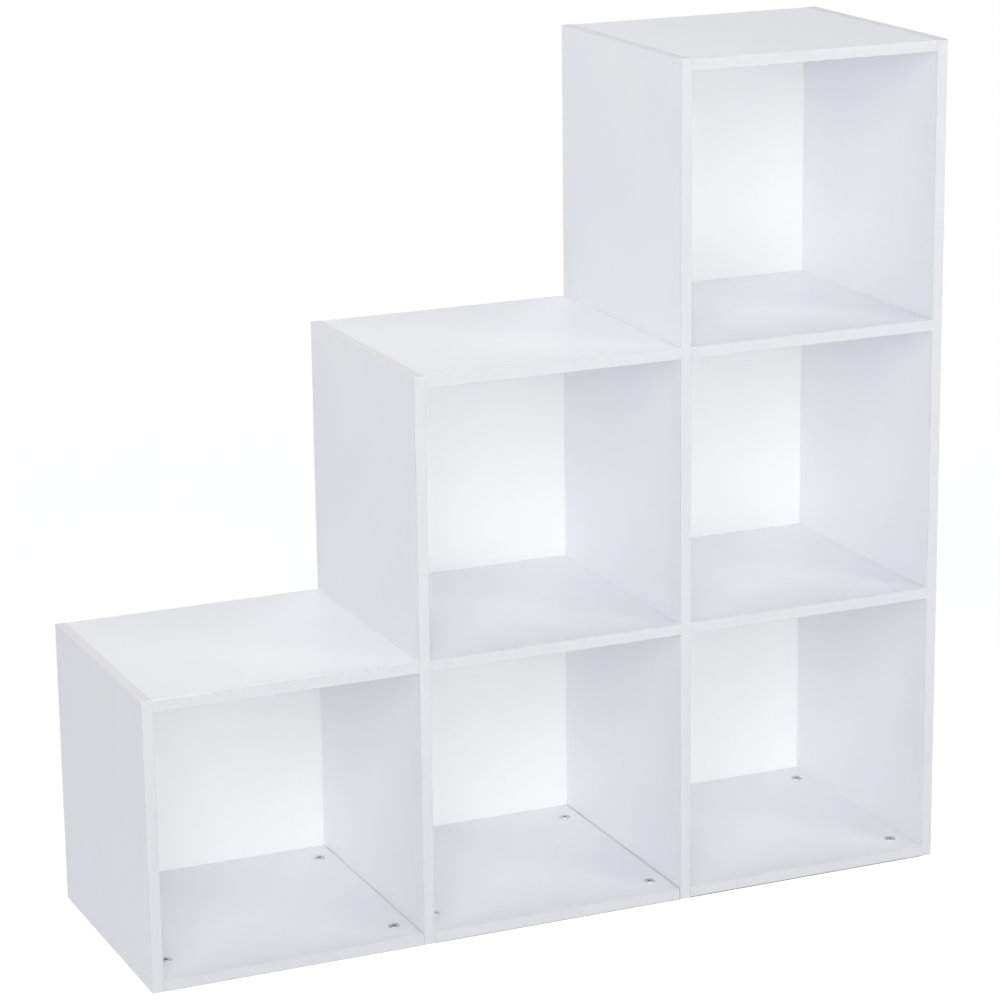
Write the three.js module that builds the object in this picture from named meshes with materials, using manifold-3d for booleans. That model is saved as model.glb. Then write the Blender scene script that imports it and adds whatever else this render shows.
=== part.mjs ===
// Staircase bookshelf: three columns of square cells, one, two and three cells high.
// Melamine-faced boards butt against shared uprights and are drawn tight by cam locks.
// Thin back panels are nailed on behind. Millimetres, +Z up, the open front faces -Y,
// and the origin is on the floor at the middle of the footprint.

import * as THREE from "three";
import { mergeVertices } from "three/addons/utils/BufferGeometryUtils.js";
import Module from "manifold-3d";

// Carcass
const width = 910;
const height = 910;
const boardDepth = 290;
const boardThickness = 12;

// Columns from left to right, each with its boards from the floor up
const columns = [
  { name: "left", boards: ["bottom_board", "top_board"] },
  { name: "middle", boards: ["bottom_board", "shelf", "top_board"] },
  { name: "right", boards: ["bottom_board", "lower_shelf", "upper_shelf", "top_board"] },
];
const uprightNames = ["upright_left", "upright_inner_left", "upright_inner_right", "upright_right"];

// Back panels
const backThickness = 2.7;
const backInset = 1; // from the carcass's outer edges to the panel's
const backSeam = 1; // between two panels on a shared upright

// Clearances and cuts
const jointGap = 0.3; // board end to upright, and carcass to back panel
const fit = 0.3; // all round a piece of hardware in its hole
const overrun = 1; // how far a cut runs out through the face it opens in
const weld = 1e-4; // vertices closer than this are one

// Where the cam locks sit in a board
const camSetback = 19.5; // cam axis to the board's end
const leftEndInset = 51; // cam axis to the front and rear edges, at a left-hand end
const rightEndInset = 35; // the same at a right-hand end, so bolts in a shared upright miss each other
const camSink = 0.2; // cam top below the board's face
const pocketFloor = 2; // board left under a cam

// Cam
const camDiameter = 12.5;
const camSides = 16;
const lipThickness = 2.1; // wall that the locked bolt's head pulls on
const lipRise = 0.6; // how much thinner that wall is at the mouth
const lockTurn = THREE.MathUtils.degToRad(130); // from the mouth to the locked bolt
const stopTurn = THREE.MathUtils.degToRad(190); // from the mouth to the end of the hollow
const lockSteps = 2; // flats of the lip up to the locked bolt
const stopSteps = 2; // flats beyond it
const recessLength = 6.4;
const recessWidth = 1.5;
const recessFloor = 0.6; // metal left under the cross recess
const recessTaper = 1; // how far each arm's end slopes in

// Cam bolt
const headDiameter = 6;
const headFace = 0.5; // length of the head's rounded front
const headBand = 0.6; // length of its widest part
const headCone = 1.2; // length of the cone that the cam pulls on
const neckDiameter = 3.6;
const shankDiameter = 5.4;
const shankShoulder = 0.9; // length of the slope from neck to shank
const shankLength = 12.5;
const screwDiameter = 4.4;
const screwTip = 1.2;
const pilotDepth = 9.5;
const boltSides = 8;
const holeSides = 6; // bores and pilot holes, which are out of sight

// Sizes that follow from the ones above
const columnPitch = (width - boardThickness) / columns.length;
const levelPitch = (height - boardThickness) / columns.length;
const boardLength = columnPitch - boardThickness - 2 * jointGap;
const overallDepth = boardDepth + jointGap + backThickness;
const carcassMiddle = (boardDepth - overallDepth) / 2;
const camRadius = camDiameter / 2;
const camTop = boardThickness / 2 - camSink;
const camBottom = pocketFloor + fit - boardThickness / 2;
const hollowTop = headDiameter / 2 + fit;
const slotHalf = neckDiameter / 2 + fit;
const uprightFace = camSetback + jointGap; // cam axis to the upright

const whiteBoard = { color: 0xeceef2, roughness: 0.45, metalness: 0 };
const whitePanel = { color: 0xf2f3f5, roughness: 0.6, metalness: 0 };
const zinc = { color: 0xc4c6c8, roughness: 0.28, metalness: 1 };
const steel = { color: 0xb4b6ba, roughness: 0.35, metalness: 1 };

const wasm = await Module();
wasm.setup();

// A closed geometry as a solid that can be cut
function toSolid(geometry) {
  const bare = geometry.clone();
  bare.deleteAttribute("normal");
  bare.deleteAttribute("uv");
  const merged = mergeVertices(bare, weld);
  const index = merged.index.array;
  const corners = [];
  for (let i = 0; i < index.length; i += 3) {
    const [a, b, c] = index.slice(i, i + 3);
    if (a !== b && b !== c && c !== a) corners.push(a, b, c);
  }
  const vertProperties = new Float32Array(merged.attributes.position.array);
  const triVerts = new Uint32Array(corners);
  return new wasm.Manifold(new wasm.Mesh({ numProp: 3, vertProperties, triVerts }));
}

function toGeometry(solid) {
  const mesh = solid.getMesh();
  const geometry = new THREE.BufferGeometry();
  geometry.setAttribute("position", new THREE.BufferAttribute(mesh.vertProperties, 3));
  geometry.setIndex(new THREE.BufferAttribute(mesh.triVerts, 1));
  geometry.computeVertexNormals();
  return geometry;
}

// The first geometry with all the others taken out of it
function cut(geometry, tools) {
  let solid = toSolid(geometry);
  for (const tool of tools) solid = solid.subtract(toSolid(tool));
  return toGeometry(solid);
}

// A round bar from one height to another along Z
function bar(radius, low, high, sides) {
  const cylinder = new THREE.CylinderGeometry(radius, radius, high - low, sides);
  return cylinder.rotateX(Math.PI / 2).translate(0, 0, (low + high) / 2);
}

// A hole's flats touch its circle from outside, so that a round piece of that size passes
function hole(radius, low, high, sides) {
  return bar(radius / Math.cos(Math.PI / sides), low, high, sides);
}

function box(x, y, z) {
  return new THREE.BoxGeometry(x, y, z);
}

// The fitting's frame, shared by the pocket, the cam and the bolt:
// the cam's axis is Z, open face up, and the bolt lies on X towards the upright.

// The mouth ends where it meets the lip, at its thinnest
const mouthRadius = camRadius - lipThickness + lipRise;
const mouthTurn = Math.asin(hollowTop / mouthRadius);

// Distance from the cam's axis to the lip's inner face, which closes in by a spiral
function lipRadius(turn) {
  return mouthRadius - (lipRise * (turn - mouthTurn)) / (lockTurn - mouthTurn);
}

// Where the head's cone meets the locked lip at the edge of the neck's slot
const coneShare = (headDiameter / 2 - slotHalf) / (headDiameter / 2 - neckDiameter / 2);
const coneStart = lipRadius(lockTurn) - fit - headCone * coneShare;
const headFront = coneStart - headBand - headFace;
const coreRadius = headFront - fit;

// Turns at which the lip has its corners, one of them right at the locked bolt
function lipTurns() {
  const turns = [];
  for (let i = 0; i < lockSteps; i++) turns.push(mouthTurn + ((lockTurn - mouthTurn) * i) / lockSteps);
  for (let i = 0; i <= stopSteps; i++) turns.push(lockTurn + ((stopTurn - lockTurn) * i) / stopSteps);
  return turns;
}

// A corner of the cam's plan for each of those turns, clockwise from the mouth
function arc(radius) {
  const corner = (turn) => new THREE.Vector2(Math.cos(turn), -Math.sin(turn)).multiplyScalar(radius(turn));
  return lipTurns().map(corner);
}

function plate(points, low, high) {
  const shape = new THREE.Shape(points);
  return new THREE.ExtrudeGeometry(shape, { depth: high - low, bevelEnabled: false }).translate(0, 0, low);
}

// Room for the bolt's head: in at the side by the mouth, then round the core between it and the lip
function hollow() {
  const mouth = [
    new THREE.Vector2(camDiameter, -hollowTop),
    new THREE.Vector2(camDiameter, hollowTop),
    new THREE.Vector2(coreRadius, hollowTop),
  ];
  const round = [...arc(() => coreRadius), ...arc(lipRadius).reverse()];
  return plate([...round, ...mouth], camBottom - overrun, hollowTop);
}

// Slot that the neck runs along, from inside the hollow through the lip and out of the cam's side
function neckSlot() {
  const inside = (turn) => (coreRadius + lipRadius(turn)) / 2;
  return plate([...arc(inside), ...arc(() => camDiameter).reverse()], -slotHalf, slotHalf);
}

// One bar of the cross recess, its ends sloping in towards the bottom
function recessArm() {
  const bottom = hollowTop + recessFloor;
  const half = recessLength / 2;
  const shape = new THREE.Shape();
  shape.moveTo(-half + recessTaper, bottom);
  shape.lineTo(half - recessTaper, bottom);
  shape.lineTo(half, camTop);
  shape.lineTo(half, camTop + overrun);
  shape.lineTo(-half, camTop + overrun);
  shape.lineTo(-half, camTop);
  const arm = new THREE.ExtrudeGeometry(shape, { depth: recessWidth, bevelEnabled: false });
  return arm.rotateX(Math.PI / 2).translate(0, recessWidth / 2, 0);
}

// The cam in its own frame: mouth towards +X, lip closing in clockwise from it
function camGeometry() {
  const tools = [hollow(), neckSlot(), recessArm(), recessArm().rotateZ(Math.PI / 2)];
  return cut(bar(camRadius, camBottom, camTop, camSides), tools);
}

// The bolt as a turned part: head, cone, neck, shank and the end that screws into the upright
function boltGeometry() {
  const neckStart = coneStart + headCone;
  const shoulder = uprightFace - fit;
  const shankStart = shoulder - shankLength;
  const end = uprightFace + pilotDepth - fit;
  const profile = [
    [0, headFront],
    [headDiameter / 2 - headFace, headFront],
    [headDiameter / 2, headFront + headFace],
    [headDiameter / 2, coneStart],
    [neckDiameter / 2, neckStart],
    [neckDiameter / 2, shankStart],
    [shankDiameter / 2, shankStart + shankShoulder],
    [shankDiameter / 2, shoulder],
    [screwDiameter / 2, shoulder],
    [screwDiameter / 2, end - screwTip],
    [screwDiameter / 2 - screwTip, end],
    [0, end],
  ];
  const points = profile.map(([radius, along]) => new THREE.Vector2(radius, along));
  const turned = new THREE.LatheGeometry(points, boltSides);
  return toGeometry(toSolid(turned.rotateZ(-Math.PI / 2)));
}

// What a fitting takes out of its board: the cam's pocket and the bolt's bore from the board's end
function fittingCuts() {
  const pocket = hole(camRadius + fit, camBottom - fit, boardThickness / 2 + overrun, camSides);
  const bore = hole(headDiameter / 2 + fit, 0, camSetback + overrun, holeSides);
  return [pocket, bore.rotateY(Math.PI / 2)];
}

// The four fittings of a board, seen from above with its cams up: towards gives the end, 1 for right
const fittings = [];
for (const towards of [-1, 1]) {
  const inset = towards > 0 ? rightEndInset : leftEndInset;
  for (const rear of [-1, 1]) {
    fittings.push({
      rear,
      towards,
      turn: towards > 0 ? 0 : Math.PI,
      x: towards * (boardLength / 2 - camSetback),
      y: rear * (boardDepth / 2 - inset),
    });
  }
}

// A board that is turned over about X has its front and rear swapped
function cornerName(corner, turnedOver) {
  const atRear = turnedOver ? corner.rear < 0 : corner.rear > 0;
  return `${atRear ? "rear" : "front"}_${corner.towards > 0 ? "right" : "left"}`;
}

// A board about its own middle, cams up
function boardGeometry() {
  const cuts = [];
  for (const place of fittings) {
    for (const tool of fittingCuts()) cuts.push(tool.rotateZ(place.turn).translate(place.x, place.y, 0));
  }
  return cut(box(boardLength, boardDepth, boardThickness), cuts);
}

// Height of the middle of a board on a level, counted from the floor
function levelHeight(level) {
  return level * levelPitch + boardThickness / 2;
}

// Middle of an upright across the width
function uprightPlace(index) {
  return index * columnPitch + (boardThickness - width) / 2;
}

// Levels that the boards of a column stand on, none past either end of the row
function levelsOf(column) {
  return columns[column] ? columns[column].boards.keys() : [];
}

// An upright about its foot's middle, with pilot holes for the bolts of the boards on both sides
function uprightGeometry(index, top) {
  const pilots = [];
  for (const place of fittings) {
    const column = place.towards > 0 ? index - 1 : index;
    for (const level of levelsOf(column)) {
      const pilot = hole(screwDiameter / 2 + fit, -overrun, pilotDepth, holeSides);
      const turned = pilot.rotateY(Math.PI / 2).translate(-boardThickness / 2, 0, 0).rotateZ(place.turn);
      pilots.push(turned.translate(0, place.y, levelHeight(level)));
    }
  }
  return cut(box(boardThickness, boardDepth, top).translate(0, 0, top / 2), pilots);
}

const shelf = new THREE.Group();

function addMesh(parent, name, geometry, finish) {
  const mesh = new THREE.Mesh(geometry, new THREE.MeshStandardMaterial(finish));
  mesh.name = name;
  parent.add(mesh);
  return mesh;
}

// Uprights, each as high as the taller of the columns beside it
uprightNames.forEach((name, index) => {
  const column = Math.min(index, columns.length - 1);
  const top = levelHeight(columns[column].boards.length - 1) + boardThickness / 2;
  const upright = addMesh(shelf, name, uprightGeometry(index, top), whiteBoard);
  upright.position.set(uprightPlace(index), carcassMiddle, 0);
});

// Boards with their cam locks. The bottom boards have the cams on top, all others underneath.
// The right upright's bolts are solids of their own, and the other uprights have their pilot holes.
const board = boardGeometry();
const cam = camGeometry();
const bolt = boltGeometry();
columns.forEach((column, index) => {
  column.boards.forEach((boardName, level) => {
    const place = new THREE.Group();
    place.position.set(uprightPlace(index) + columnPitch / 2, carcassMiddle, levelHeight(level));
    const turnedOver = level > 0;
    if (turnedOver) place.rotation.x = Math.PI;
    shelf.add(place);
    const name = `${boardName}_${column.name}`;
    addMesh(place, name, board, whiteBoard);
    for (const corner of fittings) {
      const fitting = new THREE.Group();
      fitting.position.set(corner.x, corner.y, 0);
      fitting.rotation.z = corner.turn;
      place.add(fitting);
      const ending = `${name}_${cornerName(corner, turnedOver)}`;
      addMesh(fitting, `cam_${ending}`, cam, zinc).rotation.z = lockTurn;
      const onRightUpright = index === columns.length - 1 && corner.towards > 0;
      if (onRightUpright) addMesh(fitting, `bolt_${ending}`, bolt, steel);
    }
  });
});

// Back panels, set in from the outer edges and parted on the shared uprights
columns.forEach((column, index) => {
  const first = index === 0;
  const last = index === columns.length - 1;
  const left = uprightPlace(index) + (first ? backInset - boardThickness / 2 : backSeam / 2);
  const right = uprightPlace(index + 1) + (last ? boardThickness / 2 - backInset : -backSeam / 2);
  const top = levelHeight(column.boards.length - 1) + boardThickness / 2 - backInset;
  const panel = box(right - left, backThickness, top - backInset);
  const mesh = addMesh(shelf, `back_panel_${column.name}`, panel, whitePanel);
  mesh.position.set((left + right) / 2, (overallDepth - backThickness) / 2, (top + backInset) / 2);
});

export default shelf;
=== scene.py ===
import math

import bmesh
import bpy
from mathutils import Matrix, Vector, noise


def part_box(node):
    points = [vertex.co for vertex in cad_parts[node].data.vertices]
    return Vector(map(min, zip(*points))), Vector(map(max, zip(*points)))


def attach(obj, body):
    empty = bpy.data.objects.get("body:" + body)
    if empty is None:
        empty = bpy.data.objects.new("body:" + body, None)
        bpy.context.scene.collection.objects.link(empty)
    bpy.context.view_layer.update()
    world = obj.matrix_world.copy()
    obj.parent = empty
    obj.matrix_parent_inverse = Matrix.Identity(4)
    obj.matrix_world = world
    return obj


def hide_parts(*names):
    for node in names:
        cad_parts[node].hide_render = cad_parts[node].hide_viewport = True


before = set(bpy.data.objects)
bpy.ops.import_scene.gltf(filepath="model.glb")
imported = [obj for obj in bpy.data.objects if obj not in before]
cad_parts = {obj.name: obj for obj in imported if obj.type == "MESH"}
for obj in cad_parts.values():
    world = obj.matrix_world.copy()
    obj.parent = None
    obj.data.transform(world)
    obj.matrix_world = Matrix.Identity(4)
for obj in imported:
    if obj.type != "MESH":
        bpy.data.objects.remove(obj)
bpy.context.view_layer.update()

NOISE_SEED = 1  # without one, the vector noise would differ from run to run
noise.seed_set(NOISE_SEED)

MM = 0.001
FRONT = Vector((0, -1, 0))
UP = Vector((0, 0, 1))
RIGHT = Vector((1, 0, 0))
STAY = Matrix.Identity(4)

# Camera, fitted to the shelf's corners and edges
CAMERA_PLACE = Vector((-1.481, -3.3928, 1.447))
CAMERA_TURNS = (23.606, 15.389, -0.703)  # degrees from +Y towards +X, then down, then roll
CAMERA_LENS = 129.22
CAMERA_SENSOR = 36.0
CAMERA_SHIFT = (-0.0006, 0.0005)
CAMERA_REACH = 200.0

# Melamine-faced board
BOARD_THICKNESS = 12 * MM
ARRIS = 0.12 * MM  # how far a board's sharp edges are eased
ARRIS_STEPS = 2
SNUG_GAP = 0.06 * MM  # between a board's end and its upright
# Boards that stand further off the upright on their right
WIDE_GAPS = {
    "bottom_board_left": 0.55 * MM,
    "bottom_board_middle": 0.85 * MM,
    "top_board_middle": 0.28 * MM,
    "upper_shelf_right": 0.2 * MM,
}

# Cam lock, as the model has it: axis Z, open face up, its mouth on +X, the lip closing in clockwise
FIT = 0.3 * MM  # all round a piece of hardware in its hole
OVERRUN = 1 * MM  # how far a cut runs out through the face it opens in
CAM_RADIUS = 6.25 * MM
CAM_SIDES = 64
CAM_RIM = 1.2 * MM  # width of the raised rim
CAM_ROUND = 0.75 * MM  # radius of its outer edge
ROUND_STEPS = 5
RIM_FALL = 0.04 * MM  # how far its inner edge lies under its top
CAM_DISH = 0.2 * MM  # depth of the face inside it
CAM_PROUD = 0.9 * MM  # how far the raised top stands over the model's
POCKET_FIT = 0.1 * MM
POCKET_SIDES = 64
CAM_EASE = 0.25 * MM  # round its foot
LIP = 2.1 * MM  # its thickness where it holds the bolt's head
LIP_RISE = 0.6 * MM  # how much thinner it is at the mouth
LIP_STEPS = 20
LOCK_TURN = math.radians(130)
STOP_TURN = math.radians(190)
SLOT_STOP = math.radians(188)  # a little short of it, so that the two cuts don't end in one plane
ARM_LENGTH = 6.4 * MM
ARM_WIDTH = 1.5 * MM
ARM_FLOOR = 0.6 * MM  # thickness left between an arm's floor and the hollow
ARM_FLOOR_WIDTH = 1.2 * MM
ARM_TAPER = 1 * MM
PIT_RADII = (0.7 * MM, 1.4 * MM)  # at the floor and at the top of the recess's middle
PAINTED_SHADE_DEPTH = 0.3 * MM  # how far down the recess its painted shade begins
ARROW = (3.7 * MM, 4.9 * MM, 0.7 * MM)  # start and tip from the cam's axis, and half width
ARROW_DEPTH = 0.2 * MM
CAM_SPREAD = 9.0  # degrees by which locked cams stop apart
CAM_RATES = (2.31, 0.5, 0.5)

# Cam bolt, along X in the same frame
CAM_SETBACK = 19.5 * MM
JOINT_GAP = 0.3 * MM
HEAD_RADIUS = 3 * MM
HEAD_FACE = 0.5 * MM
HEAD_BAND = 0.6 * MM
HEAD_CONE = 1.2 * MM
NECK_RADIUS = 1.8 * MM
SHANK_RADIUS = 2.7 * MM
SHANK_SHOULDER = 0.9 * MM
SHANK_LENGTH = 12.5 * MM
SCREW_RADIUS = 2.2 * MM
SCREW_ROOT = 1.6 * MM
SCREW_PITCH = 1.6 * MM
SCREW_RIDGE = 0.5  # share of the pitch that the thread's ridge takes up
SCREW_STEPS = 40  # rings along the thread
SCREW_TIP = 1.2 * MM
SCREW_BLUNTNESS = 0.25  # radius left at the very tip, as a share
PILOT_DEPTH = 9.5 * MM
BOLT_SIDES = 24
BORE_SIDES = 24


def named(*beginnings):
    """CAD nodes whose names start with one of the given words, in order."""
    return sorted(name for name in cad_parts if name.startswith(beginnings))


UPRIGHTS = named("upright_")
BOARDS = named("bottom_", "top_", "shelf_", "lower_", "upper_")
BACKS = named("back_panel_")
CAMS = named("cam_")
BOLTS = named("bolt_")


def new_object(name, data):
    """An object in the scene that shows the given mesh, lamp or camera."""
    item = bpy.data.objects.new(name, data)
    bpy.context.scene.collection.objects.link(item)
    return item


def axes(x_axis, y_axis, z_axis):
    """The rotation that turns X, Y and Z to the given directions."""
    return Matrix((x_axis, y_axis, z_axis)).transposed().to_4x4()


def spot(rates, values):
    """A place in a noise pattern, where each value counts at its own rate."""
    return Vector([rate * value for rate, value in zip(rates, values)])


def add_camera():
    azimuth, down, roll = (math.radians(turn) for turn in CAMERA_TURNS)
    ahead = Vector((math.sin(azimuth), math.cos(azimuth), 0)) * math.cos(down)
    ahead.z = -math.sin(down)
    level = Vector((math.cos(azimuth), -math.sin(azimuth), 0))
    above = level.cross(ahead)
    right = level * math.cos(roll) + above * math.sin(roll)
    up = above * math.cos(roll) - level * math.sin(roll)
    data = bpy.data.cameras.new("camera")
    data.sensor_width = CAMERA_SENSOR
    data.lens = CAMERA_LENS
    data.shift_x, data.shift_y = CAMERA_SHIFT
    data.clip_end = CAMERA_REACH
    camera = new_object("camera", data)
    camera.matrix_world = Matrix.Translation(CAMERA_PLACE) @ axes(right, up, -ahead)
    bpy.context.scene.camera = camera


add_camera()


# Materials

PATTERN_SHIFT = (7.0, 5.0, 3.0)  # how far apart in its pattern two objects may lie
# The mix node's sockets for each kind of value: first input, second input and output
MIX_SOCKETS = {"RGBA": (6, 7, 2), "VECTOR": (4, 5, 1)}


class Graph:
    """A material's nodes, made and linked by short calls."""

    def __init__(self, name):
        self.material = bpy.data.materials.new(name)
        self.material.use_nodes = True
        self.nodes = self.material.node_tree.nodes
        self.links = self.material.node_tree.links
        self.shader = self.nodes["Principled BSDF"]

    def add(self, kind, inputs=(), **settings):
        node = self.nodes.new(kind)
        for key, value in settings.items():
            setattr(node, key, value)
        for key, value in dict(inputs).items():
            self.put(value, node.inputs[key])
        return node

    def put(self, value, socket):
        if isinstance(value, bpy.types.NodeSocket):
            self.links.new(value, socket)
        else:
            socket.default_value = value

    def calculate(self, operation, a, b=0.0, clamp=False):
        return self.add("ShaderNodeMath", {0: a, 1: b}, operation=operation, use_clamp=clamp).outputs[0]

    def mix(self, share, a, b, kind="RGBA"):
        """a where share is 0 and b where it is 1."""
        first, second, result = MIX_SOCKETS[kind]
        node = self.add("ShaderNodeMix", data_type=kind)
        self.put(share, node.inputs["Factor"])
        self.put(a, node.inputs[first])
        self.put(b, node.inputs[second])
        return node.outputs[result]

    def spread(self, value, low, high, to_low=0.0, to_high=1.0):
        """The value with its range from low to high laid over another range."""
        inputs = {"Value": value, "From Min": low, "From Max": high, "To Min": to_low, "To Max": to_high}
        return self.add("ShaderNodeMapRange", inputs).outputs["Result"]

    def scaled(self, place, scale):
        return self.add("ShaderNodeMapping", {"Vector": place, "Scale": scale}).outputs[0]

    def moved(self, place, by, reach):
        """The place moved by a value times the reach on each axis."""
        inputs = {0: by, 1: reach, 2: place}
        return self.add("ShaderNodeVectorMath", inputs, operation="MULTIPLY_ADD").outputs[0]

    def own_place(self):
        """Object coordinates, moved elsewhere in the pattern for each object."""
        place = self.add("ShaderNodeTexCoord").outputs["Object"]
        chance = self.add("ShaderNodeObjectInfo").outputs["Random"]
        return self.moved(place, chance, PATTERN_SHIFT)

    def share_along(self, axis):
        """How far across the object's own box a point lies on one axis, from 0 to 1."""
        generated = self.add("ShaderNodeTexCoord").outputs["Generated"]
        return self.add("ShaderNodeSeparateXYZ", {0: generated}).outputs[axis]

    def noise(self, place, scale, detail):
        inputs = {"Vector": place, "Scale": scale, "Detail": detail}
        return self.add("ShaderNodeTexNoise", inputs).outputs["Fac"]

    def bump(self, height, distance, strength):
        inputs = {"Height": height, "Distance": distance, "Strength": strength}
        return self.add("ShaderNodeBump", inputs).outputs[0]

    def finish(self, **inputs):
        for key, value in inputs.items():
            self.put(value, self.shader.inputs[key.replace("_", " ")])
        return self.material


def srgb(red, green, blue):
    """A colour given as it looks on screen, 0 to 255, as a shader colour, by the curve that sRGB sets."""
    shares = [level / 255 for level in (red, green, blue)]
    linear = [c / 12.92 if c <= 0.04045 else ((c + 0.055) / 1.055) ** 2.4 for c in shares]
    return (*linear, 1.0)


MELAMINE = srgb(245, 247, 250)
MELAMINE_SHADE = srgb(243, 245, 249)
# The edging is one stuff in two copies: darker on the fronts as painted shade, lighter on the uprights'
# tops as painted light
FRONT_BAND_PAINTED_SHADE = srgb(204, 206, 210)
FRONT_BAND_PAINTED_SHADE_DARK = srgb(199, 201, 205)
TOP_BAND_PAINTED_LIGHT = srgb(236, 235, 238)
TOP_BAND_PAINTED_LIGHT_DARK = srgb(231, 230, 233)
PANEL = srgb(248, 250, 251)
PANEL_SHADE = srgb(246, 249, 250)
PANEL_REAR = srgb(214, 211, 205)
PANEL_FIBRE = srgb(196, 192, 184)
CHIP_PALE = srgb(214, 200, 178)
CHIP_DARK = srgb(150, 128, 103)
GLUE = srgb(188, 188, 191)
# Painted contact shadow: the dark strip under the bottom boards' bands
PAINTED_CONTACT_SHADOW = srgb(92, 91, 90)
PAINTED_CONTACT_SHADOW_DARK = srgb(66, 65, 63)
ZINC = srgb(230, 230, 233)
ZINC_DULL = srgb(178, 176, 175)
# Painted shade for the cam's recess and hollow
RECESS_PAINTED_SHADE = srgb(150, 148, 145)
RECESS_PAINTED_SHADE_DARK = srgb(84, 82, 78)
STEEL = srgb(210, 211, 214)
STEEL_DULL = srgb(170, 171, 174)
NAIL = srgb(142, 140, 137)
NAIL_DULL = srgb(104, 100, 96)

# Raw chipboard under the board's skin of decor paper and resin
SKIN = 0.3 * MM
SKIN_EDGE = 0.03 * MM  # depth over which the skin turns into chipboard
RAW_ROUGHNESS = 0.5  # how much rougher than the skin it is
FLAKE_SCALE = 420.0
FLAKE_FLATNESS = 3.4  # how much longer the wood's flakes are than thick
FLAKE_WOBBLE = 1.6 * MM
FLAKE_SHARE = 0.7  # how far a flake's own tone goes towards the dark colour
FIBRE_SHARE = 0.5  # how far its fibres go on from there

# Where a back panel's paint ends and its rear skin begins, as shares of its thickness
PAINT_END = (0.08, 0.12)
REAR_SKIN = (0.88, 0.92)
PANEL_STRETCH = (1.0, 1.0, 2.5)  # its fibres lie across

# A metal's grain: how much finer it is than its patches, and its roughness at least and at most
GRAIN_FINENESS = 9
GRAIN_ROUGHNESS = (0.8, 1.3)


def chipboard(graph, place, axis):
    """Colour and height of the raw core: flakes of wood pressed flat, each with a tone of its own."""
    flatten = [1.0, 1.0, 1.0]
    flatten[axis] = FLAKE_FLATNESS
    flat = graph.scaled(place, flatten)
    wobble = graph.add("ShaderNodeTexNoise", {"Vector": flat, "Scale": 700.0, "Detail": 3.0})
    bent = graph.moved(flat, wobble.outputs["Color"], (FLAKE_WOBBLE, FLAKE_WOBBLE, FLAKE_WOBBLE))
    flakes = graph.add("ShaderNodeTexVoronoi", {"Vector": bent, "Scale": FLAKE_SCALE})
    tone = graph.add("ShaderNodeSeparateColor", {"Color": flakes.outputs["Color"]}).outputs["Red"]
    fibre = graph.noise(flat, scale=2200.0, detail=4.0)
    own = graph.calculate("MULTIPLY", tone, FLAKE_SHARE)
    further = graph.spread(fibre, low=0.35, high=0.75, to_high=FIBRE_SHARE)
    share = graph.calculate("ADD", own, further, clamp=True)
    return graph.mix(share, CHIP_PALE, CHIP_DARK), tone


def melamine(name, axis):
    """Satin white on both faces square to the axis, and raw chipboard between them."""
    graph = Graph(name)
    place = graph.own_place()
    off_middle = graph.calculate("ABSOLUTE", graph.calculate("SUBTRACT", graph.share_along(axis), 0.5))
    inner = 0.5 - SKIN / BOARD_THICKNESS
    outer = inner + SKIN_EDGE / BOARD_THICKNESS
    core = graph.spread(off_middle, inner, outer, to_low=1.0, to_high=0.0)
    cloud = graph.noise(place, scale=9.0, detail=4.0)
    white = graph.mix(graph.spread(cloud, low=0.35, high=0.65), MELAMINE, MELAMINE_SHADE)
    chips, flakes = chipboard(graph, place, axis)
    pearl = graph.noise(place, scale=1100.0, detail=3.0)
    face = graph.bump(pearl, distance=0.03 * MM, strength=0.35)
    raw = graph.bump(flakes, distance=0.15 * MM, strength=0.6)
    gloss = graph.noise(place, scale=30.0, detail=3.0)
    sheen = graph.spread(gloss, low=0.3, high=0.7, to_low=0.36, to_high=0.42)
    rougher = graph.calculate("MULTIPLY", core, RAW_ROUGHNESS)
    return graph.finish(
        Base_Color=graph.mix(core, white, chips),
        Roughness=graph.calculate("ADD", rougher, sheen, clamp=True),
        Normal=graph.mix(core, face, raw, kind="VECTOR"),
    )


def edge_band(name, pale, shade):
    """Melamine edging: a little warmer than the faces, with a fine speckle."""
    graph = Graph(name)
    place = graph.own_place()
    speckle = graph.noise(place, scale=700.0, detail=4.0)
    cloud = graph.noise(place, scale=18.0, detail=3.0)
    fine = graph.spread(speckle, low=0.35, high=0.7, to_high=0.6)
    broad = graph.spread(cloud, low=0.3, high=0.7, to_high=0.4)
    share = graph.calculate("ADD", fine, broad)
    normal = graph.bump(speckle, distance=0.04 * MM, strength=0.4)
    return graph.finish(Base_Color=graph.mix(share, pale, shade), Roughness=0.48, Normal=normal)


def back_panel(name):
    """Painted fibreboard: smooth white in front, plain and duller behind."""
    graph = Graph(name)
    place = graph.own_place()
    along = graph.share_along(1)
    behind = graph.spread(along, *PAINT_END)
    edge_on = graph.spread(along, *REAR_SKIN, to_low=1.0, to_high=0.0)
    cloud = graph.spread(graph.noise(place, scale=7.0, detail=4.0), low=0.35, high=0.65)
    front = graph.mix(cloud, PANEL, PANEL_SHADE)
    fibre = graph.noise(graph.scaled(place, PANEL_STRETCH), scale=260.0, detail=5.0)
    rear = graph.mix(graph.spread(fibre, low=0.3, high=0.75, to_high=0.5), PANEL_REAR, PANEL_FIBRE)
    inside = graph.mix(graph.noise(place, scale=900.0, detail=3.0), CHIP_PALE, CHIP_DARK)
    hidden = graph.mix(edge_on, rear, inside)
    coarse = graph.spread(behind, low=0.0, high=1.0, to_low=0.1, to_high=0.8)
    return graph.finish(
        Base_Color=graph.mix(behind, front, hidden),
        Roughness=graph.spread(behind, low=0.0, high=1.0, to_low=0.5, to_high=0.8),
        Normal=graph.bump(fibre, distance=0.05 * MM, strength=coarse),
    )


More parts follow.
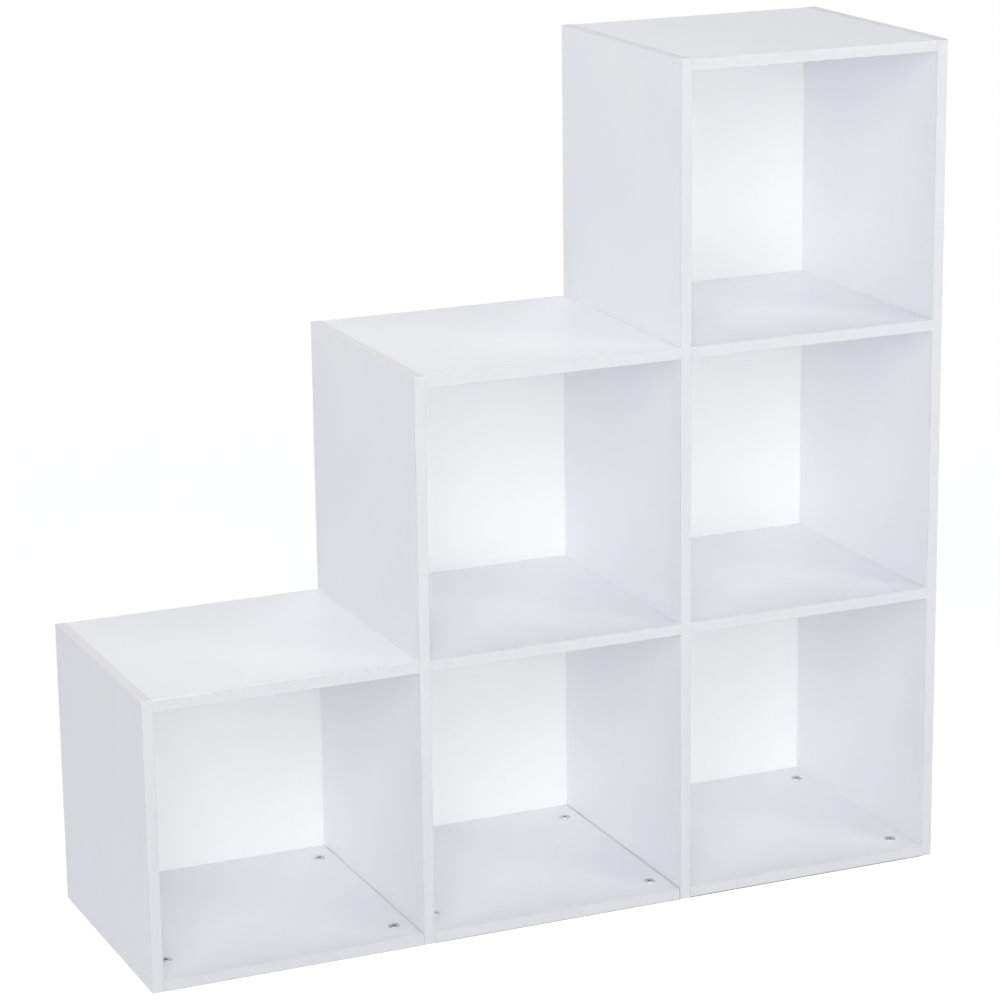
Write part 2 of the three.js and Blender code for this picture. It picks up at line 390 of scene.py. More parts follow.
def metal(name, bright, dull, roughness, scale):
    """Cast or drawn metal, with a faint grain and patches of tarnish."""
    graph = Graph(name)
    place = graph.own_place()
    patches = graph.noise(place, scale, detail=4.0)
    grain = graph.noise(place, scale * GRAIN_FINENESS, detail=3.0)
    least, most = (roughness * factor for factor in GRAIN_ROUGHNESS)
    return graph.finish(
        Base_Color=graph.mix(graph.spread(patches, low=0.35, high=0.7), bright, dull),
        Metallic=1.0,
        Roughness=graph.spread(grain, low=0.3, high=0.7, to_low=least, to_high=most),
        Normal=graph.bump(grain, distance=0.02 * MM, strength=0.5),
    )


def plain(name, pale, shade, roughness):
    """A matt stuff with a faint grain."""
    graph = Graph(name)
    grain = graph.noise(graph.own_place(), scale=1200.0, detail=3.0)
    normal = graph.bump(grain, distance=0.03 * MM, strength=0.5)
    return graph.finish(Base_Color=graph.mix(grain, pale, shade), Roughness=roughness, Normal=normal)


board_white = melamine("melamine_board", axis=2)
upright_white = melamine("melamine_upright", axis=0)
# front edging in a darker copy as painted shade, top edging in a lighter copy as painted light
front_band_painted_shade = edge_band("edge_band", FRONT_BAND_PAINTED_SHADE, FRONT_BAND_PAINTED_SHADE_DARK)
top_band_painted_light = edge_band("edge_band_top", TOP_BAND_PAINTED_LIGHT, TOP_BAND_PAINTED_LIGHT_DARK)
panel_white = back_panel("back_panel")
sawdust = plain("sawdust", CHIP_PALE, CHIP_DARK, roughness=0.9)
dried_glue = plain("dried_glue", GLUE, FRONT_BAND_PAINTED_SHADE_DARK, roughness=0.6)
# painted contact shadow, for the dark strip under the bottom boards' bands
old_glue = plain("old_glue", PAINTED_CONTACT_SHADOW, PAINTED_CONTACT_SHADOW_DARK, roughness=0.7)
zinc = metal("zinc", ZINC, ZINC_DULL, roughness=0.14, scale=420.0)
# painted shade for the cam's recess and hollow
zinc_recess = metal("zinc_recess", RECESS_PAINTED_SHADE, RECESS_PAINTED_SHADE_DARK, roughness=0.42, scale=600.0)
steel = metal("bolt_steel", STEEL, STEEL_DULL, roughness=0.32, scale=500.0)
nail_steel = metal("nail_steel", NAIL, NAIL_DULL, roughness=0.5, scale=500.0)

bpy.context.scene.view_settings.view_transform = "Standard"


# Mesh building

def mesh_of(name, points, faces):
    mesh = bpy.data.meshes.new(name)
    mesh.from_pydata([tuple(point) for point in points], [], faces)
    mesh.validate()
    return mesh


def skin_faces(rings, sides):
    """Faces over points that are a pole, rings one after another, and a second pole."""
    last = 1 + rings * sides
    top = last - sides
    faces = []
    for side in range(sides):
        after = (side + 1) % sides
        faces.append((0, 1 + after, 1 + side))
        for low in range(1, top, sides):
            high = low + sides
            faces.append((low + side, low + after, high + after, high + side))
        faces.append((top + side, top + after, last))
    return faces


def lathe(name, profile, sides):
    """A solid turned about Z from (radius, height) pairs that start and end on the axis."""
    rim = profile[1:-1]
    points = [(0, 0, profile[0][1])]
    for radius, height in rim:
        for side in range(sides):
            turn = math.tau * side / sides
            points.append((radius * math.cos(turn), radius * math.sin(turn), height))
    points.append((0, 0, profile[-1][1]))
    return mesh_of(name, points, skin_faces(len(rim), sides))


def bar_mesh(name, radius, low, high, sides):
    return lathe(name, [(0, low), (radius, low), (radius, high), (0, high)], sides)


def loft(name, sections):
    """A solid through cross-sections of as many points each, closed by flat ends."""
    ring = len(sections[0])
    points = [point for section in sections for point in section]
    last = len(points) - ring
    faces = [tuple(reversed(range(ring))), tuple(range(last, last + ring))]
    for low in range(0, last, ring):
        high = low + ring
        for i in range(ring):
            j = (i + 1) % ring
            faces.append((low + i, low + j, high + j, high + i))
    return mesh_of(name, points, faces)


def prism(name, outline, low, high, top_scale=1.0):
    """A plate of the given outline, anticlockwise from above, wider or narrower at its top."""
    foot = [(x, y, low) for x, y in outline]
    head = [(x * top_scale, y * top_scale, high) for x, y in outline]
    return loft(name, [foot, head])


def taper_box(name, low_half, high_half, low, high):
    """A cutter with sloping sides, run straight on past its top."""
    sections = []
    for (x, y), z in ((low_half, low), (high_half, high), (high_half, high + OVERRUN)):
        sections.append([(-x, -y, z), (x, -y, z), (x, y, z), (-x, y, z)])
    return loft(name, sections)


def eased_box(name, extent):
    """A box about its own middle with its arrises eased."""
    made = bmesh.new()
    bmesh.ops.create_cube(made, size=1.0)
    bmesh.ops.scale(made, vec=extent, verts=made.verts)
    bmesh.ops.bevel(made, geom=made.edges, offset=ARRIS, segments=ARRIS_STEPS, profile=0.5, affect="EDGES")
    mesh = bpy.data.meshes.new(name)
    made.to_mesh(mesh)
    made.free()
    return mesh


def turn_outward(mesh):
    """Turns the mesh's faces so that they all look out of it."""
    made = bmesh.new()
    made.from_mesh(mesh)
    bmesh.ops.recalc_face_normals(made, faces=made.faces)
    made.to_mesh(mesh)
    made.free()


def scratch_object(mesh, place=STAY):
    item = new_object("scratch", mesh)
    item.matrix_world = place
    return item


def evaluated(block, helpers=()):
    """A new mesh with a scratch object's modifiers applied. It and its helpers are removed."""
    bpy.context.view_layer.update()
    graph = bpy.context.evaluated_depsgraph_get()
    made = bpy.data.meshes.new_from_object(block.evaluated_get(graph))
    made.name = block.data.name
    for item in [block, *helpers]:
        bpy.data.objects.remove(item)
    return made


def carve(mesh, tools):
    """The mesh with every tool, a (mesh, matrix) pair, taken out of it."""
    block = scratch_object(mesh)
    cutters = [scratch_object(tool, place) for tool, place in tools]
    for cutter in cutters:
        cut = block.modifiers.new("cut", "BOOLEAN")
        cut.object = cutter
        cut.solver = "EXACT"
    return evaluated(block, cutters)


def smooth(mesh, degrees):
    """The mesh in smooth shading, kept sharp at edges that turn more than the given angle.

    Normals are weighted by area, so that a wide face stays flat beside a narrow eased edge.
    """
    mesh.shade_smooth()
    mesh.set_sharp_from_angle(angle=math.radians(degrees))
    block = scratch_object(mesh)
    weighted = block.modifiers.new("weighted", "WEIGHTED_NORMAL")
    weighted.keep_sharp = True
    return evaluated(block)


def give(mesh, *materials):
    mesh.materials.clear()
    for material in materials:
        mesh.materials.append(material)


def add_piece(name, mesh, place=STAY, replaces=None):
    piece = new_object(name, mesh)
    piece.matrix_world = place
    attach(piece, "root")
    if replaces:
        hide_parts(replaces)


# Places, read from the model

def middle(node):
    low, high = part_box(node)
    return (low + high) / 2


def size(node):
    low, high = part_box(node)
    return high - low


def board_of(cam):
    """The board that a cam sits in, by their shared name."""
    return next(board for board in BOARDS if cam.startswith(f"cam_{board}_"))


def cams_in(board):
    return [cam for cam in CAMS if board_of(cam) == board]


def opens_down(board):
    """Whether a board's cams are in its underside."""
    return middle(cams_in(board)[0]).z < middle(board).z


def fitting_matrix(cam):
    """The fitting's frame: on the cam's axis at mid board, Z out of the open face, X to the upright."""
    centre = middle(cam)
    board = board_of(cam)
    x_axis = RIGHT if cam.endswith("_right") else -RIGHT
    z_axis = -UP if opens_down(board) else UP
    place = Matrix.Translation((centre.x, centre.y, middle(board).z))
    return place @ axes(x_axis, z_axis.cross(x_axis), z_axis)


# Boards, finer than the model's: eased arrises and round pockets

def faced_board(name, board, right_gap):
    """A board about its middle, its left end snug and its right end at the given gap."""
    length, depth, thick = size(board)
    left = JOINT_GAP - SNUG_GAP
    right = JOINT_GAP - right_gap
    mesh = eased_box(name, (length + left + right, depth, thick))
    mesh.transform(Matrix.Translation(((right - left) / 2, 0, 0)))
    home = Matrix.Translation(middle(board)).inverted()
    cams = cams_in(board)
    pocket_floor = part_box(cams[0])[0].z - FIT - middle(board).z
    pocket = bar_mesh("pocket", CAM_RADIUS + POCKET_FIT, pocket_floor, thick, POCKET_SIDES)
    bore = bar_mesh("bore", HEAD_RADIUS + FIT, 0, CAM_SETBACK + thick, BORE_SIDES)
    sideways = Matrix.Rotation(math.pi / 2, 4, "Y")
    tools = []
    for cam in cams:
        place = home @ fitting_matrix(cam)
        tools += [(pocket, place), (bore, place @ sideways)]
    made = carve(mesh, tools)
    give(made, board_white)
    return smooth(made, degrees=60)


# Cam and bolt

def lip_radius(turn):
    """Distance from the cam's axis to the lip's inner face, a spiral that closes in."""
    return MOUTH_RADIUS - LIP_RISE * (turn - MOUTH_TURN) / (LOCK_TURN - MOUTH_TURN)


HOLLOW_TOP = HEAD_RADIUS + FIT
SLOT_HALF = NECK_RADIUS + FIT
MOUTH_RADIUS = CAM_RADIUS - LIP + LIP_RISE
MOUTH_TURN = math.asin(HOLLOW_TOP / MOUTH_RADIUS)
CONE_SHARE = (HEAD_RADIUS - SLOT_HALF) / (HEAD_RADIUS - NECK_RADIUS)
CONE_START = lip_radius(LOCK_TURN) - FIT - HEAD_CONE * CONE_SHARE
HEAD_FRONT = CONE_START - HEAD_BAND - HEAD_FACE
CORE_RADIUS = HEAD_FRONT - FIT
FACE_OF_UPRIGHT = CAM_SETBACK + JOINT_GAP


def arc(radius_at, stop):
    """Points round the cam from its mouth to the given turn, clockwise."""
    points = []
    for step in range(LIP_STEPS + 1):
        turn = MOUTH_TURN + (stop - MOUTH_TURN) * step / LIP_STEPS
        radius = radius_at(turn)
        points.append((radius * math.cos(turn), -radius * math.sin(turn)))
    return points


def cam_body(bottom, top):
    """The turned blank: an eased foot, a rounded rim and a dished face."""
    inner = CAM_RADIUS - CAM_RIM
    rim = []
    for step in range(ROUND_STEPS + 1):
        turn = math.pi / 2 * step / ROUND_STEPS
        across, above = CAM_ROUND * math.cos(turn), CAM_ROUND * math.sin(turn)
        rim.append((CAM_RADIUS - CAM_ROUND + across, top - CAM_ROUND + above))
    return lathe("cam_lock", [
        (0, bottom),
        (CAM_RADIUS - CAM_EASE, bottom),
        (CAM_RADIUS, bottom + CAM_EASE),
        *rim,
        (inner, top - RIM_FALL),
        (inner - CAM_DISH, top - CAM_DISH),
        (0, top - CAM_DISH),
    ], CAM_SIDES)


def cam_cuts(bottom, top):
    """What the blank loses: the head's hollow, the neck's slot, a cross recess with its pit, an arrow."""
    far = 2 * CAM_RADIUS
    mouth = [(far, -HOLLOW_TOP), (far, HOLLOW_TOP), (CORE_RADIUS, HOLLOW_TOP)]
    round_core = arc(lambda turn: CORE_RADIUS, STOP_TURN) + arc(lip_radius, STOP_TURN)[::-1]
    hollow = prism("hollow", round_core + mouth, bottom - OVERRUN, HOLLOW_TOP)
    inside = arc(lambda turn: (CORE_RADIUS + lip_radius(turn)) / 2, SLOT_STOP)
    slot = prism("slot", inside + arc(lambda turn: far, SLOT_STOP)[::-1], -SLOT_HALF, SLOT_HALF)
    floor = HOLLOW_TOP + ARM_FLOOR
    half = ARM_LENGTH / 2
    arm = taper_box("arm", (half - ARM_TAPER, ARM_FLOOR_WIDTH / 2), (half, ARM_WIDTH / 2), floor, top)
    pit_low, pit_high = PIT_RADII
    pit = lathe("pit", [
        (0, floor),
        (pit_low, floor),
        (pit_high, top),
        (pit_high, top + OVERRUN),
        (0, top + OVERRUN),
    ], BORE_SIDES)
    start, tip, wide = ARROW
    sign = [(start, -wide), (tip, 0), (start, wide)]
    arrow = prism("arrow", sign, top - CAM_DISH - ARROW_DEPTH, top + OVERRUN)
    quarter = Matrix.Rotation(math.pi / 2, 4, "Z")
    return [(hollow, STAY), (slot, STAY), (arm, STAY), (arm, quarter), (pit, STAY), (arrow, STAY)]


def cam_mesh(bottom, model_top):
    """The cam about its axis, bright outside, with painted shade in its recess and hollow."""
    top = model_top + CAM_PROUD
    made = carve(cam_body(bottom, top), cam_cuts(bottom, top))
    give(made, zinc, zinc_recess)
    # Faces deep in the recess or in the hollow get the darker material: painted shade
    for face in made.polygons:
        centre = face.center
        reach = math.hypot(centre.x, centre.y)
        in_recess = reach < ARM_LENGTH / 2 and centre.z < top - PAINTED_SHADE_DEPTH
        in_hollow = reach < CAM_RADIUS - CAM_EASE and centre.z <= HOLLOW_TOP
        face.material_index = 1 if in_recess or in_hollow else 0
    return smooth(made, degrees=35)


def screw_ring(along, start, end):
    """One ring of the threaded end: its ridge winds along and it thins out at the tip."""
    taper = min(1.0, (end - along) / SCREW_TIP + SCREW_BLUNTNESS)
    ring = []
    for side in range(BOLT_SIDES):
        phase = ((along - start) / SCREW_PITCH - side / BOLT_SIDES) % 1.0
        ridge = max(0.0, 1 - abs(phase - 0.5) * 2 / SCREW_RIDGE)
        ring.append(((SCREW_ROOT + (SCREW_RADIUS - SCREW_ROOT) * ridge) * taper, along))
    return ring


def bolt_mesh():
    """Head, cone, neck and shank as a turned part, then a thread that runs out at the tip."""
    shoulder = FACE_OF_UPRIGHT - FIT
    shank_start = shoulder - SHANK_LENGTH
    end = FACE_OF_UPRIGHT + PILOT_DEPTH - FIT
    profile = [
        (HEAD_RADIUS - HEAD_FACE, HEAD_FRONT),
        (HEAD_RADIUS, HEAD_FRONT + HEAD_FACE),
        (HEAD_RADIUS, CONE_START),
        (NECK_RADIUS, CONE_START + HEAD_CONE),
        (NECK_RADIUS, shank_start),
        (SHANK_RADIUS, shank_start + SHANK_SHOULDER),
        (SHANK_RADIUS, shoulder),
        (SCREW_ROOT, shoulder),
    ]
    rings = [[(radius, along)] * BOLT_SIDES for radius, along in profile]
    for step in range(SCREW_STEPS + 1):
        along = FACE_OF_UPRIGHT + (end - FACE_OF_UPRIGHT) * step / SCREW_STEPS
        rings.append(screw_ring(along, shoulder, end))
    points = [(HEAD_FRONT, 0, 0)]
    for ring in rings:
        for side, (radius, along) in enumerate(ring):
            turn = math.tau * side / BOLT_SIDES
            points.append((along, radius * math.cos(turn), radius * math.sin(turn)))
    points.append((end, 0, 0))
    mesh = mesh_of("cam_bolt", points, skin_faces(len(rings), BOLT_SIDES))
    give(mesh, steel)
    return smooth(mesh, degrees=35)


# Edge bands: thin strips glued on and trimmed by hand, so their long edges waver a little

BAND_THICK = 0.4 * MM
BAND_EASE = 0.2 * MM
BAND_SLOPE = 0.06 * MM  # how far the eased edge's middle corner lies inside the band's own corner
BAND_STEP = 6 * MM
BAND_WAVER = 0.05 * MM
BAND_TRIM = 0.6  # how much is trimmed off on average, in wavers
FINE_WAVER = 0.5  # share of a second, finer waver
RIPPLE_RATES = (25, 3.7, 5.1)
FINE_RATES = (140, 1.3, 2.3)
BAND_SEEDS = 97  # a band's name gives it one of this many wavers
CUT_RAMP = 1.5 * MM  # a cut's depth is reached over this length

# Where the trimming cut too deep: side (-1 left or lower, 1 right or upper), from, to and depth in mm
CUTS = {
    "edge_band_top_upright_left": [(-1, 0, 290, 0.08)],
    "edge_band_top_upright_inner_left": [
        (-1, 0, 290, 0.12),
        (-1, 40, 215, 0.2),
        (-1, 52, 58, 0.3),
        (-1, 138, 150, 0.35),
    ],
    "edge_band_top_upright_inner_right": [
        (-1, 0, 290, 0.2),
        (-1, 170, 240, 0.3),
        (-1, 208, 218, 0.6),
    ],
    "edge_band_top_upright_right": [(-1, 0, 290, 0.15)],
    "edge_band_top_board_left": [(1, 0, 62, 0.25)],
    "edge_band_front_upright_inner_left": [(-1, 311, 312, 0.9), (-1, 12, 13, 0.7)],
    # The bottom boards' bands are cut back along their lower edge, which bares the dark strip of painted
    # contact shadow under them
    "edge_band_bottom_board_left": [(1, 262, 278, 0.15), (-1, 0, 300, 0.16)],
    "edge_band_bottom_board_middle": [(-1, 0, 300, 0.36)],
    "edge_band_bottom_board_right": [(-1, 0, 300, 0.65)],
}
# Bands that stop short of their edge's ends: at the start and at the end in mm
SHORT = {
    "edge_band_front_upright_right": (0, 0.65),
    "edge_band_top_upright_right": (1.0, 0),
    "edge_band_top_board_right": (0, 0.35),
    "edge_band_bottom_board_left": (0.25, 0.24),
    "edge_band_bottom_board_middle": (0.15, 0.84),
    "edge_band_bottom_board_right": (0.25, 0),
}
# A dark strip of painted contact shadow that shows under the bottom boards' bands: its height in mm
CONTACT_SHADOW_LINES = {"bottom_board_left": 0.16, "bottom_board_middle": 0.36, "bottom_board_right": 0.65}
CONTACT_SHADOW_THICK = 0.3 * MM
CONTACT_SHADOW_WAVER = 0.25  # how far its height varies, as a share
CONTACT_SHADOW_RATES = (0.63, 9, 0.5)


def cut_depth(cuts, side, along):
    """How much more than usual is trimmed off one side of a band at a place along it."""
    depth = 0.0
    for cut_side, start, end, deep in cuts:
        if cut_side == side:
            outside = max(start * MM - along, along - end * MM, 0.0)
            depth = max(depth, deep * MM * max(0.0, 1 - outside / CUT_RAMP))
    return depth


def band_stops(length, cuts):
    """Places along a band where it gets a cross-section."""
    count = max(2, round(length / BAND_STEP))
    stops = {length * step / count for step in range(count)}
    stops.add(length)
    for _, start, end, _ in cuts:
        stops |= {start * MM - CUT_RAMP, start * MM, end * MM, end * MM + CUT_RAMP}
    return sorted(stop for stop in stops if 0 <= stop <= length)


def band_section(low, high):
    """Cross-section of a band between two trimmed edges, with its outer arrises eased."""
    return [
        (low, 0),
        (low, BAND_THICK - BAND_EASE),
        (low + BAND_SLOPE, BAND_THICK - BAND_SLOPE),
        (low + BAND_EASE, BAND_THICK),
        (high - BAND_EASE, BAND_THICK),
        (high - BAND_SLOPE, BAND_THICK - BAND_SLOPE),
        (high, BAND_THICK - BAND_EASE),
        (high, 0),
    ]


def waver(seed, side, along):
    """How much is trimmed off one side of a band at a place along it."""
    ripple = noise.noise(spot(RIPPLE_RATES, (along, seed, side)))
    fine = noise.noise(spot(FINE_RATES, (along, seed, side)))
    return BAND_WAVER * (BAND_TRIM + ripple + FINE_WAVER * fine)


def edge_strip(name, start, end, across, out, width, material):
    """A band from start to end along the middle of an edge."""
    at_start, at_end = SHORT.get(name, (0, 0))
    heading = (end - start).normalized()
    start = start + heading * at_start * MM
    length = (end - start).length - at_end * MM
    cuts = CUTS.get(name, [])
    seed = sum(map(ord, name)) % BAND_SEEDS
    sections = []
    for along in band_stops(length, cuts):
        trims = [max(0.0, waver(seed, side, along) + cut_depth(cuts, side, along)) for side in (-1, 1)]
        centre = start + heading * along
        flat = band_section(trims[0] - width / 2, width / 2 - trims[1])
        sections.append([centre + across * u + out * v for u, v in flat])
    mesh = loft(name, sections)
    turn_outward(mesh)
    give(mesh, material)
    add_piece(name, smooth(mesh, degrees=50))


def add_bands():
    reach = JOINT_GAP - SNUG_GAP
    for board in BOARDS:
        low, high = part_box(board)
        z = (low.z + high.z) / 2
        start = Vector((low.x - reach, low.y, z))
        end = Vector((high.x + reach, low.y, z))
        edge_strip(f"edge_band_{board}", start, end, UP, FRONT, high.z - low.z, front_band_painted_shade)
    for upright in UPRIGHTS:
        low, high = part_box(upright)
        width = high.x - low.x
        x = (low.x + high.x) / 2
        foot = Vector((x, low.y, low.z))
        head = Vector((x, low.y, high.z))
        rear = Vector((x, high.y, high.z))
        edge_strip(f"edge_band_front_{upright}", foot, head, RIGHT, FRONT, width, front_band_painted_shade)
        edge_strip(f"edge_band_top_{upright}", head, rear, RIGHT, UP, width, top_band_painted_light)


def add_painted_shadow_lines():
    """An uneven dark strip under a bottom board's trimmed band, as painted contact shadow."""
    for board, height in CONTACT_SHADOW_LINES.items():
        low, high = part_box(board)
        length = high.x - low.x
        steps = round(length / BAND_STEP)
        outline = [(0, 0), (length, 0)]
        for step in range(steps, -1, -1):
            uneven = 1 + CONTACT_SHADOW_WAVER * noise.noise(spot(CONTACT_SHADOW_RATES, (step, low.x, 1)))
            outline.append((length * step / steps, height * MM * uneven))
        mesh = prism(f"glue_line_{board}", outline, 0, CONTACT_SHADOW_THICK)
        give(mesh, old_glue)
        add_piece(mesh.name, mesh, Matrix.Translation(low) @ axes(RIGHT, UP, FRONT))


# Specks on the faces: a few grains of sawdust and two smears of glue

GRAIN_SIDES = 7
GRAIN_THICK = 0.1 * MM
GRAIN_TOP = 0.8  # a speck's width at its top, as a share of that at its foot
GRAIN_WAVER = 0.4  # how uneven its outline is, as a share
GRAIN_RATES = (1.7, 10, 1)
GRAINS = {
    # place in mm, the way its face looks, and radius in mm
    "on_top_board_left": ((-178.9, 12.4, 311.33), UP, 0.3),
    "on_bottom_board_left": ((-178.9, 77.2, 12.0), UP, 0.36),
    "on_upright_inner_right": ((143.67, -26.6, 100.3), -RIGHT, 0.32),
}
SMEARS = {
    # place in mm, radius in mm, and how much taller it is than wide
    "upper": ((-447.4, -146.9, 64.5), 0.9, 2.6),
    "lower": ((-448.6, -146.9, 57.5), 0.8, 3.6),
}


def speck(name, place, out, radius, tall, material):
    """A thin uneven flake that lies on a face."""
    turned = out.to_track_quat("Z", "Y").to_matrix().to_4x4()
    outline = []
    for side in range(GRAIN_SIDES):
        turn = math.tau * side / GRAIN_SIDES
        uneven = 1 + GRAIN_WAVER * noise.noise(spot(GRAIN_RATES, (side, radius, place[0])))
        reach = radius * MM * uneven
        outline.append((reach * math.cos(turn), tall * reach * math.sin(turn)))
    mesh = prism(name, outline, -GRAIN_THICK, GRAIN_THICK, GRAIN_TOP)
    give(mesh, material)
    add_piece(name, mesh, Matrix.Translation(Vector(place) * MM) @ turned)


def add_specks():
    for name, (place, out, radius) in GRAINS.items():
        speck(f"sawdust_{name}", place, out, radius, 1.0, sawdust)
    for name, (place, radius, tall) in SMEARS.items():
        speck(f"glue_smear_{name}", place, FRONT, radius, tall, dried_glue)


# Nails that hold the backs on

NAIL_PROFILE = [
    # radius and height over the panel in mm, from the point to the head
    (0, -15),
    (0.6, -13.8),
    (0.6, -0.1),
    (1.38, -0.1),
    (1.5, 0.05),
    (1.275, 0.28),
    (0, 0.34),
]
NAIL_SIDES = 14
NAIL_SPACING = 92 * MM
NAIL_END = 34 * MM  # from a panel's corner to the nearest nail
NAIL_INSET = 3 * MM  # from a panel's edge, on a shared upright
# How far a nail strays from its place across and up, and how far it leans in radians
NAIL_STRAY = (1 * MM, 2.5 * MM)
NAIL_LEAN = 0.05
STRAY_RATES = (31, 0.77, 17)
LEAN_RATES = (1.9, 11, 23)


def spaced(low, high):
    """Even places between two ends, at most the nail spacing apart."""
    count = max(1, math.ceil((high - low) / NAIL_SPACING))
    return [low + (high - low) * i / count for i in range(count + 1)]


def nail_places(panel):
    low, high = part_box(panel)
    column = panel.removeprefix("back_panel_")
    heights = sorted(middle(board).z for board in BOARDS if board.endswith(f"_{column}"))
    sides = [low.x + NAIL_INSET, high.x - NAIL_INSET]
    places = []
    for below, above in zip(heights, heights[1:]):
        for z in spaced(below + NAIL_END, above - NAIL_END):
            places += [(x, z) for x in sides]
    for z in heights:
        places += [(x, z) for x in spaced(low.x + NAIL_END, high.x - NAIL_END)]
    return places


def add_nails(panel):
    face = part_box(panel)[1].y
    one = lathe("nail", [(radius * MM, height * MM) for radius, height in NAIL_PROFILE], NAIL_SIDES)
    across, up = NAIL_STRAY
    joined = bmesh.new()
    for count, (x, z) in enumerate(nail_places(panel)):
        stray = noise.noise_vector(spot(STRAY_RATES, (x, count, z)))
        lean = noise.noise_vector(spot(LEAN_RATES, (count, x, z))) * NAIL_LEAN
        place = Matrix.Translation((x + stray.x * across, face, z + stray.z * up))
        tilt = Matrix.Rotation(-math.pi / 2 + lean.x, 4, "X") @ Matrix.Rotation(lean.y, 4, "Y")
        copied = one.copy()
        copied.transform(place @ tilt)
        joined.from_mesh(copied)
        bpy.data.meshes.remove(copied)
    mesh = bpy.data.meshes.new(panel.replace("back_panel", "nails"))
    joined.to_mesh(mesh)
    joined.free()
    give(mesh, nail_steel)
    add_piece(mesh.name, smooth(mesh, degrees=40))


# The shelf

def dress_model():
    for upright in UPRIGHTS:
        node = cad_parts[upright]
        give(node.data, upright_white)
        ease = node.modifiers.new("ease", "BEVEL")
        ease.width = ARRIS
        ease.segments = ARRIS_STEPS
        ease.limit_method = "ANGLE"
        ease.use_clamp_overlap = False
    for panel in BACKS:
        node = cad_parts[panel]
        give(node.data, panel_white)


def add_boards():
    """All boards share one shape, turned over where the cams open downward, but for the wide gaps."""
    first = BOARDS[0]
    usual = faced_board("faced_board", first, SNUG_GAP)
    gapped = {}
    for board, gap in WIDE_GAPS.items():
        gapped[board] = faced_board(f"faced_board_{board}", first, gap)
    turned_over = Matrix.Rotation(math.pi, 4, "X")
    for board in BOARDS:
        place = Matrix.Translation(middle(board))
        if opens_down(board) != opens_down(first):
            place = place @ turned_over
        add_piece(f"faced_{board}", gapped.get(board, usual), place, board)


def add_fittings():
    sample = CAMS[0]
    low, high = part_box(sample)
    mid = middle(board_of(sample)).z
    cam_shape = cam_mesh(low.z - mid, high.z - mid)
    bolt_shape = bolt_mesh()
    for count, cam in enumerate(CAMS):
        place = fitting_matrix(cam)
        spread = math.radians(CAM_SPREAD) * noise.noise(spot(CAM_RATES, (count, 1, 1)))
        turned = Matrix.Rotation(LOCK_TURN + spread, 4, "Z")
        ending = cam.removeprefix("cam_")
        add_piece(f"cam_lock_{ending}", cam_shape, place @ turned, cam)
        bolt = f"bolt_{ending}"
        replaced = bolt if bolt in BOLTS else None
        add_piece(f"cam_bolt_{ending}", bolt_shape, place, replaced)


dress_model()
add_boards()
add_fittings()
add_bands()
add_painted_shadow_lines()
add_specks()
for panel in BACKS:
    add_nails(panel)


# Floor, backdrop and lights

FLOOR_REACH = 60.0
FLOOR_DROP = 0.2 * MM
FLOOR_COLOUR = srgb(234, 234, 236)
WHITE = (1, 1, 1, 1)
BACKDROP = 1.0  # what the camera sees of the floor and the world, where 1 is white
NEAR_GLOW = 0.815  # round the shelf the floor glows less and shows its shading too
NEAR_SHADE = (0.3, 0.3, 0.3, 1)
NEAR_REACH = (1.2, 2.4)  # from plain shading to plain glow, from the middle

AIM = Vector((0, 0, 0.45))
LAMP_COLOUR = (1.0, 0.967, 0.932)
LIGHTS = {
    # name: (degrees from the front towards +X, degrees up, distance, width, height, watts)
    "key_low": (-30, 12, 8.0, 4.2, 3.0, 214.0),
    "key_high": (-30, 35, 8.0, 4.2, 3.0, 141.0),
    "front": (0, 35, 8.0, 4.2, 3.0, 51.0),
    "fill": (30, 12, 8.0, 4.2, 3.0, 123.0),
    "near_left": (-112, 53, 1.8, 0.8, 0.8, 6.8),
    "near_right": (41, 34, 2.6, 0.8, 0.8, 9.4),
    "near_low": (5, -3, 2.2, 1.0, 0.6, 6.7),
    "rear": (180, 59, 7.7, 5.0, 5.0, 104.0),
    "low_rear": (171, 1, 8.0, 1.6, 0.8, 270.0),
    "low_right": (99, 1, 8.0, 1.6, 0.8, 200.0),
}
NO_GLARE = ("low_rear", "low_right")  # they light the far sides, and would glare on the tops
WORLD = (0.15, (0.6, 0.8, 1.0))  # strength and colour of the faint light from all round


def add_light(name, azimuth, elevation, distance, width, height, watts):
    data = bpy.data.lights.new(f"light_{name}", "AREA")
    data.shape = "RECTANGLE"
    data.size = width
    data.size_y = height
    data.energy = watts
    data.color = LAMP_COLOUR
    lamp = new_object(data.name, data)
    around, above = math.radians(azimuth), math.radians(elevation)
    level = Vector((math.sin(around), -math.cos(around), 0)) * math.cos(above)
    towards = level + Vector((0, 0, math.sin(above)))
    lamp.location = AIM + towards * distance
    lamp.rotation_euler = towards.to_track_quat("Z", "Y").to_euler()
    lamp.visible_camera = False
    lamp.visible_glossy = name not in NO_GLARE


def seen_directly(nodes, links):
    """1 for rays that show the backdrop: from the camera, off metal or through glass."""
    path = nodes.new("ShaderNodeLightPath")
    shown = path.outputs["Is Camera Ray"]
    for kind in ("Is Glossy Ray", "Is Transmission Ray"):
        either = nodes.new("ShaderNodeMath")
        either.operation = "MAXIMUM"
        links.new(shown, either.inputs[0])
        links.new(path.outputs[kind], either.inputs[1])
        shown = either.outputs[0]
    return shown


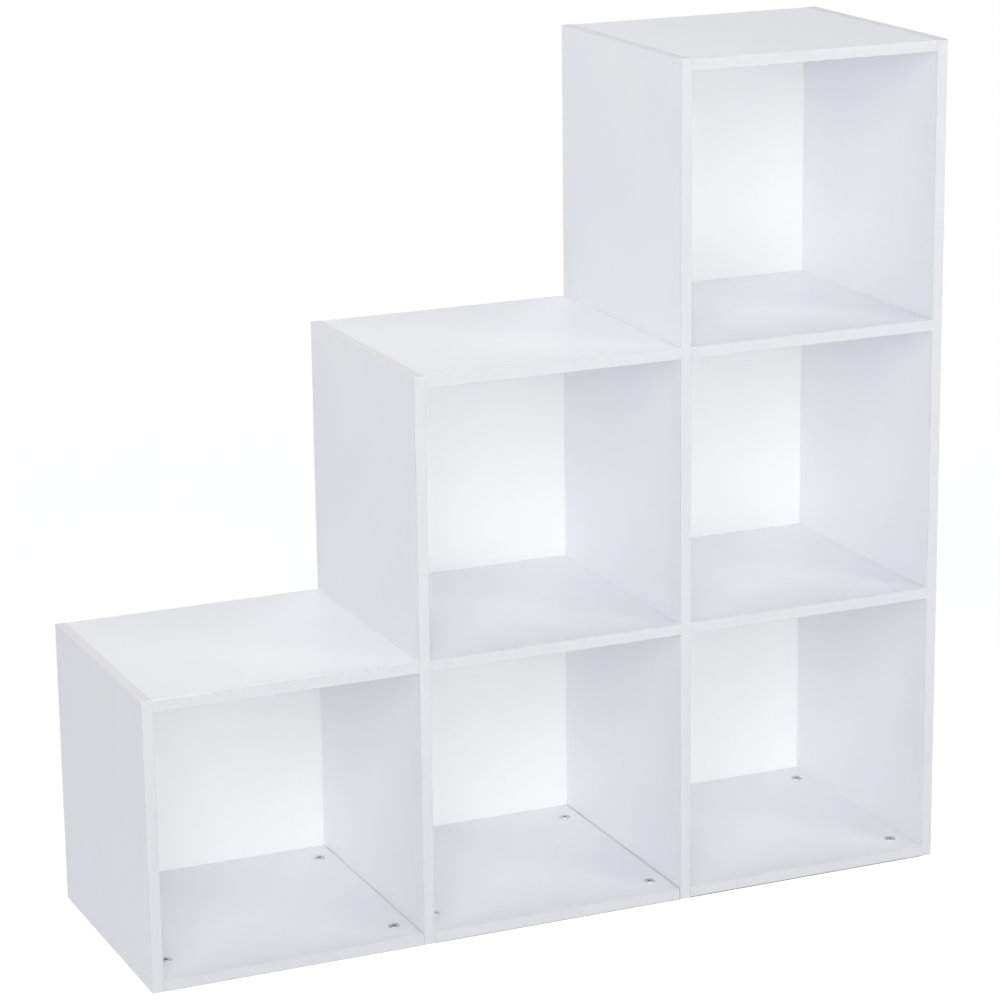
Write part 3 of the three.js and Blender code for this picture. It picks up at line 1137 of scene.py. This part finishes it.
def add_floor():
    """A white floor. The camera sees it as backdrop, with a soft shadow round the shelf."""
    graph = Graph("floor")
    graph.finish(Base_Color=FLOOR_COLOUR, Roughness=0.9)
    far_glow = graph.add("ShaderNodeEmission", {"Color": WHITE, "Strength": BACKDROP})
    near_glow = graph.add("ShaderNodeEmission", {"Color": WHITE, "Strength": NEAR_GLOW})
    shade = graph.add("ShaderNodeBsdfDiffuse", {"Color": NEAR_SHADE})
    near = graph.add("ShaderNodeAddShader", {0: near_glow.outputs[0], 1: shade.outputs[0]})
    place = graph.add("ShaderNodeTexCoord").outputs["Object"]
    distance = graph.add("ShaderNodeVectorMath", {0: place}, operation="LENGTH").outputs["Value"]
    far = graph.spread(distance, *NEAR_REACH)
    shown = graph.add("ShaderNodeMixShader", {0: far, 1: near.outputs[0], 2: far_glow.outputs[0]})
    seen = seen_directly(graph.nodes, graph.links)
    both = graph.add("ShaderNodeMixShader", {0: seen, 1: graph.shader.outputs[0], 2: shown.outputs[0]})
    graph.put(both.outputs[0], graph.nodes["Material Output"].inputs["Surface"])
    reach = FLOOR_REACH
    corners = [(-reach, -reach, 0), (reach, -reach, 0), (reach, reach, 0), (-reach, reach, 0)]
    mesh = mesh_of("floor", corners, [(0, 1, 2, 3)])
    give(mesh, graph.material)
    floor = new_object("floor", mesh)
    floor.location.z = -FLOOR_DROP


def add_world():
    strength, colour = WORLD
    world = bpy.data.worlds.new("studio")
    world.use_nodes = True
    bpy.context.scene.world = world
    nodes, links = world.node_tree.nodes, world.node_tree.links
    backdrop = nodes.new("ShaderNodeBackground")
    backdrop.inputs["Color"].default_value = WHITE
    backdrop.inputs["Strength"].default_value = BACKDROP
    ambient = nodes["Background"]
    ambient.inputs["Color"].default_value = (*colour, 1)
    ambient.inputs["Strength"].default_value = strength
    mixed = nodes.new("ShaderNodeMixShader")
    links.new(seen_directly(nodes, links), mixed.inputs["Fac"])
    links.new(ambient.outputs[0], mixed.inputs[1])
    links.new(backdrop.outputs[0], mixed.inputs[2])
    links.new(mixed.outputs[0], nodes["World Output"].inputs["Surface"])


for name, light in LIGHTS.items():
    add_light(name, *light)
add_floor()
add_world()
